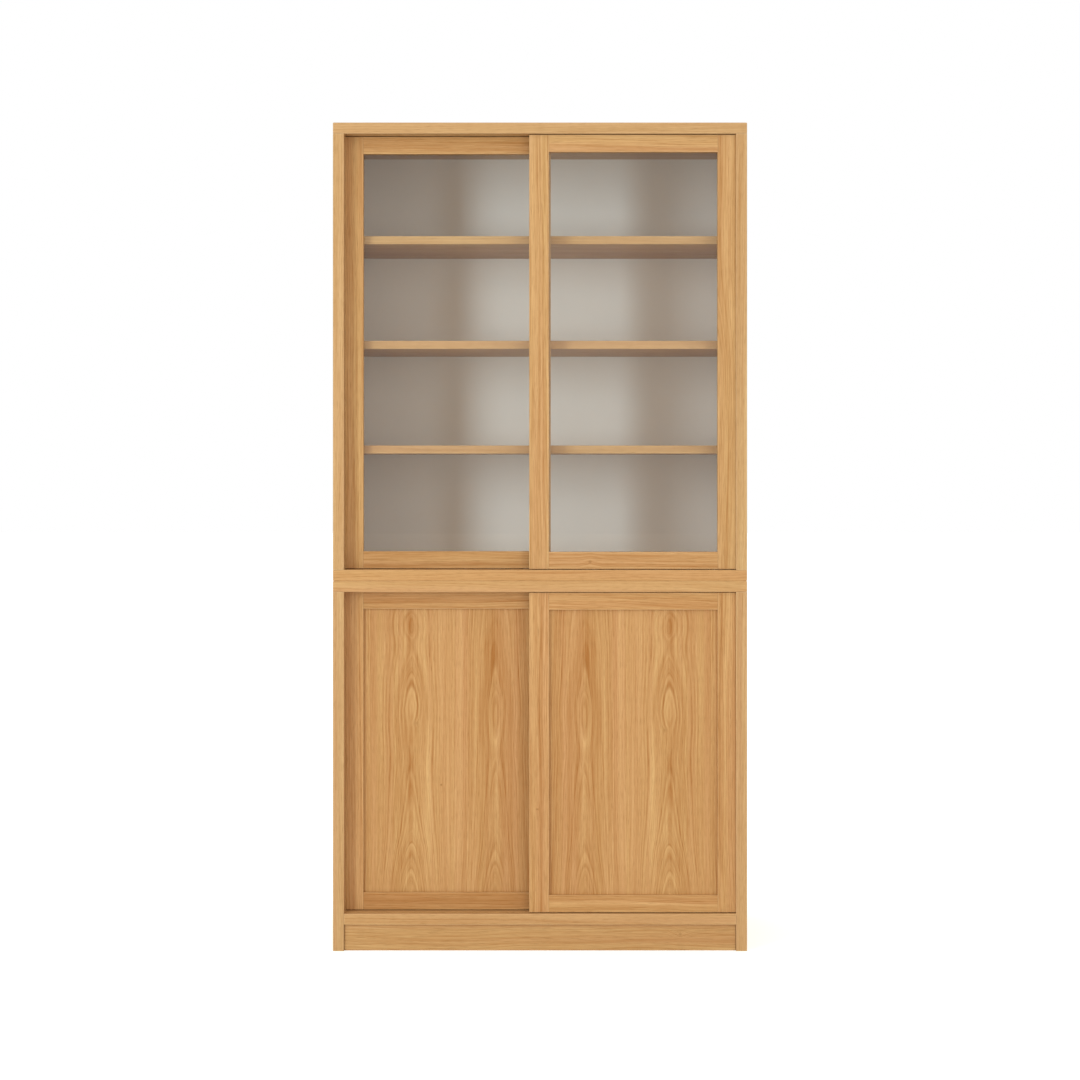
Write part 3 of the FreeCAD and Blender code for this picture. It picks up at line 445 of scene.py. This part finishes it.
# Pin knots: node, place along X and Z, radius of the knot, how dark it is and how far the
# rings swerve round it.
KNOTS = (
    ("lower_left_door_panel", -0.2165, 0.3545, 0.0022, 0.7, 0.001),
    ("lower_left_door_panel", -0.272, 0.490, 0.0050, 0.3, 0.003),
    ("lower_right_door_panel", 0.272, 0.478, 0.0050, 0.3, 0.003),
    ("lower_right_door_left_stile", -0.006, 0.307, 0.0025, 0.6, 0.003),
    ("upper_right_door_bottom_rail", 0.109, 0.845, 0.0035, 0.5, 0.006),
    ("front_plinth", 0.305, 0.035, 0.0035, 0.4, 0.012),
)
SWERVE_REACH = 8  # how far the swerve reaches, in radii of the knot
SWERVE = ((0.0, 1.0), (0.3, 0.5), (1.0, 0.0))  # how it fades over that reach
KNOT_CORE, KNOT_RIM = 0.3, 1.5  # where its stain is full, and where it ends, in radii


def staves(graph, across, width):
    """Which stave this place is in, and how far it is from that stave's middle."""
    stave = graph.math("ROUND", graph.math("DIVIDE", across, width))
    return stave, graph.math("SUBTRACT", across, graph.math("MULTIPLY", stave, width))


def stray(graph, along, pace, reach, shift):
    """A slow swing to either side along the grain, pace times a metre and reach far."""
    swing = graph.line_noise(graph.math("MULTIPLY_ADD", along, pace, shift))
    return graph.math("MULTIPLY_ADD", swing, 4 * reach, -2 * reach)


def near_edge(graph, row, low, high):
    """1 on the edges of the board's box and 0 further in: the middle one of the distances."""
    sides = []
    for place, start, end in zip(row, low, high):
        half = (end - start) / 2
        off_middle = graph.math("ABSOLUTE", graph.math("SUBTRACT", place, start + half))
        sides.append(graph.math("SUBTRACT", half, off_middle))
    first, second, third = sides
    least = graph.math("MINIMUM", first, second)
    most = graph.math("MINIMUM", graph.math("MAXIMUM", first, second), third)
    return graph.remap(graph.math("MAXIMUM", least, most), 0.0, EDGE, 1.0, 0.0)


def add_knots(graph, node, row, radius):
    """The rings' radius with its swerves round the board's knots, and the knots' stain."""
    stain = 0.0
    for board, x, z, size, darkness, swerve in KNOTS:
        if board != node:
            continue
        offset = graph.vector(
            graph.math("SUBTRACT", row[0], x), 0.0, graph.math("SUBTRACT", row[2], z))
        distance = graph.node("VectorMath", {"operation": "LENGTH"})
        graph.put(offset, distance.inputs[0])
        away = distance.outputs["Value"]
        spot = graph.remap(away, size * KNOT_CORE, size * KNOT_RIM, darkness, 0.0)
        stain = graph.math("MAXIMUM", spot, stain)
        bend = graph.ramp(graph.math("DIVIDE", away, size * SWERVE_REACH), SWERVE)
        radius = graph.math("MULTIPLY_ADD", bend, swerve, radius)
    return radius, stain


def add_oak(material, graph, node, row, **inputs):
    """Finishes the material of a board of oak: its knots, its edges, made lighter as rubbed wear
    and as a painted highlight, and its surface.
    """
    inputs["Radius"], inputs["Stain"] = add_knots(graph, node, row, inputs["Radius"])
    inputs["Edge"] = near_edge(graph, row, *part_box(node))
    oak = graph.node("Group", {"node_tree": OAK}, **inputs).outputs
    finish_surface(
        graph, oak["Height"], depth=OAK_RELIEF, Base_Color=oak["Color"],
        Roughness=oak["Roughness"], IOR=VARNISH_IOR)
    return material


def kind_of(node):
    """The key of CUTS that fits the node's name."""
    kinds = ("stile", "rail", "plinth", "side", "shelf")
    return next((kind for kind in kinds if kind in node), "panel")


def make_board(node):
    """The material of one board, whose grain starts at the middle of its face."""
    material, graph = new_material(f"oak_{node}")
    cut = CUTS[kind_of(node)]
    draw = random.Random(node)
    seed = draw.uniform(0, SEEDS)
    side = draw.choice((-1, 1))
    low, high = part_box(node)
    middle = (low + high) / 2
    row = graph.split(graph.node("TexCoord").outputs["Object"])
    across, depth, along = (graph.math("SUBTRACT", row[axis], middle[axis]) for axis in cut["axes"])
    aside, deep = draw.uniform(*cut["aside"]), draw.uniform(*cut["deep"])
    # A board's tone from the table above, which for some boards is painted shade.
    tone = BOARD_TONES_AND_SHADE.get(node, draw.uniform(PALER, DARKER))
    pale = next((share for board, share in PALER_BOARDS.items() if board in node), 0.0)
    off_pith = across
    if "stave" in cut:
        stave, off_pith = staves(graph, across, cut["stave"])
        lot = graph.random(graph.math("ADD", stave, seed))
        seed = graph.math("MULTIPLY_ADD", lot[0], STAVE_SEEDS, seed)
        tone = graph.math("MULTIPLY_ADD", lot[1], DARKER - PALER, PALER + BOARD_TONES_AND_SHADE.get(node, 0.0))
    off_pith = graph.math("ADD", off_pith, side * aside)
    off_pith = graph.math("ADD", off_pith, stray(graph, along, *WANDER, seed))
    sunk = graph.math("MULTIPLY_ADD", along, side * cut["sink"], deep)
    below = graph.math("ADD", depth, sunk)
    below = graph.math("ADD", below, stray(graph, along, *SWELL, seed))
    radius = graph.math("SQRT", graph.math(
        "MULTIPLY_ADD", off_pith, off_pith, graph.math("MULTIPLY", below, below)))
    return add_oak(
        material, graph, node, row, Across=across, Depth=depth, Along=along, Radius=radius,
        Figure=cut["figure"], Tone=tone, Pale=pale, Seed=seed)


def arches(graph, from_middle, height, figure):
    """Radius, tone and strength of a figure: arches between lines that straighten and close up."""
    off = graph.math("SUBTRACT", from_middle, figure["middle"])
    off = graph.math("ADD", off, stray(graph, height, *ARCH_SWAY, figure["seed"]))
    square = graph.math("MULTIPLY", off, off)
    flank = graph.math("SQRT", graph.math("ADD", square, ARCH_TIP ** 2))
    bow = graph.math("SQRT", graph.math("ADD", square, ARCH_SPREAD ** 2))
    bent = graph.math("DIVIDE", RING_WIDTH, graph.math(
        "MULTIPLY_ADD", square, ARCH_REACH ** -2, 1.0))
    radius = graph.math("MULTIPLY", graph.curve(height, figure["rings"]), bent)
    radius = graph.math("MULTIPLY_ADD", flank, ARCH_SLOPE, radius)
    radius = graph.math("MULTIPLY_ADD", bow, 1 - ARCH_SLOPE, radius)
    inside = graph.remap(flank, 0.0, ACCENT_REACH, 1.0, 0.0)
    accent = graph.math("MULTIPLY", inside, graph.curve(height, figure["tone"]))
    strength = graph.remap(flank, ARCH_SPREAD / 3, ARCH_SPREAD, *figure["strength"])
    return radius, accent, strength


def make_door_panel(node):
    """The material of a lower door panel, with the arches of its two leaves of veneer."""
    material, graph = new_material(f"oak_{node}")
    low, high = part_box(node)
    row = graph.split(graph.node("TexCoord").outputs["Object"])
    from_middle = graph.math("ABSOLUTE", row[0])
    outer = graph.math("GREATER_THAN", from_middle, (STRONG["middle"] + WEAK["middle"]) / 2)
    weak, strong = (arches(graph, from_middle, row[2], figure) for figure in (WEAK, STRONG))
    radius, accent, strength, seed = (
        graph.remap(outer, 0.0, 1.0, *pair) for pair in zip(
            (*weak, WEAK["seed"]), (*strong, STRONG["seed"])))
    depth = graph.math("SUBTRACT", row[1], low.y)
    # The figure's accents plus the leaves' tone, which next to the stiles is painted shade.
    tone = graph.math("ADD", accent, graph.curve(from_middle, LEAF_TONE_AND_SHADE))
    return add_oak(
        material, graph, node, row, Across=from_middle, Depth=depth, Along=row[2],
        Radius=radius, Figure=strength, Tone=tone, Seed=seed)


OAK = make_oak_group()


# ------------------------------------------------------------------ other materials

GLASS_IOR = 1.4  # low, since the photo shows hardly any reflection in the panes
PATCH_GLEAM = 18  # how much brighter, of 255, the patches on plated steel are


def make_back():
    """Warm light grey laminate, faintly mottled, with a fine linen grain."""
    material, graph = new_material("back_board")
    place = graph.node("TexCoord").outputs["Object"]
    cloud = graph.noise(graph.scaled(place, 14, 14, 14), detail=3.0)
    linen = graph.noise(graph.scaled(place, 900, 900, 220), detail=1.0)
    shade = graph.math("MULTIPLY_ADD", cloud, 0.3, graph.math("MULTIPLY", linen, 0.7))
    base = graph.mix(shade, colour(232, 227, 217), colour(245, 240, 231))
    roughness = graph.remap(linen, 0.0, 1.0, 0.45, 0.65)
    finish_surface(
        graph, linen, depth=0.00005, Base_Color=base, Roughness=roughness, IOR=VARNISH_IOR)
    return material


def make_glass():
    """Clear float glass that lets the lamps through to what is behind it."""
    material, graph = new_material("clear_glass")
    place = graph.node("TexCoord").outputs["Object"]
    wipe = graph.noise(graph.scaled(place, 9, 9, 5), detail=4.0)
    roughness = graph.remap(wipe, 0.45, 0.8, 0.0, 0.006)
    tint = graph.mix(
        graph.remap(wipe, 0.4, 0.7), (0.985, 0.995, 0.99, 1), (0.97, 0.98, 0.975, 1))
    pane = graph.node(
        "BsdfPrincipled", Base_Color=tint, Roughness=roughness, IOR=GLASS_IOR,
        Transmission_Weight=1.0)
    through = graph.node("BsdfTransparent", Color=(0.97, 0.98, 0.975, 1))
    path = graph.node("LightPath").outputs
    lighting = graph.math("MAXIMUM", path["Is Shadow Ray"], path["Is Diffuse Ray"])
    both = graph.node("MixShader", Fac=lighting)
    graph.put(pane.outputs[0], both.inputs[1])
    graph.put(through.outputs[0], both.inputs[2])
    graph.node("OutputMaterial", Surface=both.outputs[0])
    return material


def make_beech():
    """Dowels of beech, with its small dark flecks along the grain."""
    material, graph = new_material("beech")
    place = graph.node("TexCoord").outputs["Object"]
    flecks = graph.remap(graph.noise(graph.scaled(place, 900, 900, 260), detail=1.0), 0.55, 0.7)
    cloud = graph.noise(graph.scaled(place, 90, 90, 30), detail=3.0)
    base = graph.mix(cloud, colour(214, 178, 136), colour(200, 158, 114))
    base = graph.mix(graph.math("MULTIPLY", flecks, 0.4), base, colour(150, 104, 66))
    roughness = graph.remap(flecks, 0.0, 1.0, 0.5, 0.65)
    finish_surface(
        graph, flecks, depth=0.00005, Base_Color=base, Roughness=roughness, IOR=VARNISH_IOR)
    return material


def make_nylon():
    """Brown nylon with a fine even grain."""
    material, graph = new_material("nylon")
    place = graph.node("TexCoord").outputs["Object"]
    grain = graph.noise(graph.scaled(place, 1200, 1200, 1200))
    base = graph.mix(grain, colour(96, 66, 40), colour(112, 78, 48))
    roughness = graph.remap(grain, 0.2, 0.8, 0.32, 0.5)
    finish_surface(
        graph, grain, depth=0.00003, Base_Color=base, Roughness=roughness,
        Subsurface_Weight=0.1, Subsurface_Scale=0.002)
    return material


def make_plated(name, tint, dullness):
    """Plated steel with fine turning marks and a few dull patches."""
    material, graph = new_material(name)
    place = graph.node("TexCoord").outputs["Object"]
    marks = graph.noise(graph.scaled(place, 2500, 400, 2500))
    patches = graph.noise(graph.scaled(place, 160, 160, 160), detail=3.0)
    bright = (min(255, part + PATCH_GLEAM) for part in tint)
    base = graph.mix(patches, colour(*tint), colour(*bright))
    roughness = graph.math("MULTIPLY_ADD", marks, 0.1, dullness)
    roughness = graph.math("MULTIPLY_ADD", patches, 0.2, roughness)
    finish_surface(
        graph, marks, depth=0.00002, Base_Color=base, Roughness=roughness, Metallic=1.0)
    return material


def paint(node, material):
    """Puts the material on every slot of the piece."""
    slots = NODES[node].material_slots
    for slot in slots:
        slot.material = material
    if not slots:
        NODES[node].data.materials.append(material)


def paint_all():
    """Gives each piece the material of the first word found in its name, and the rest oak."""
    plain = {
        "back_panel": make_back(), "_glass": make_glass(), "glides": make_nylon(),
        "shelf_pins": make_plated("nickel_pins", (200, 198, 192), 0.15),
        "back_screws": make_plated("zinc_screws", (186, 189, 193), 0.25),
        "connector": make_plated("connector_steel", (196, 192, 184), 0.2),
        "dowels": make_beech(),
    }
    plain["guide_pins"] = plain["glides"]
    for node in sorted(NODES):
        match = next((material for key, material in plain.items() if key in node), None)
        if match is None:
            match = make_door_panel(node) if node.endswith("door_panel") else make_board(node)
        paint(node, match)


make_camera()
for lamp_name, lamp_values in LAMPS.items():
    make_lamp(lamp_name, *lamp_values)
make_sky()
make_floor()
paint_all()

bpy.context.scene.view_settings.view_transform = "Standard"
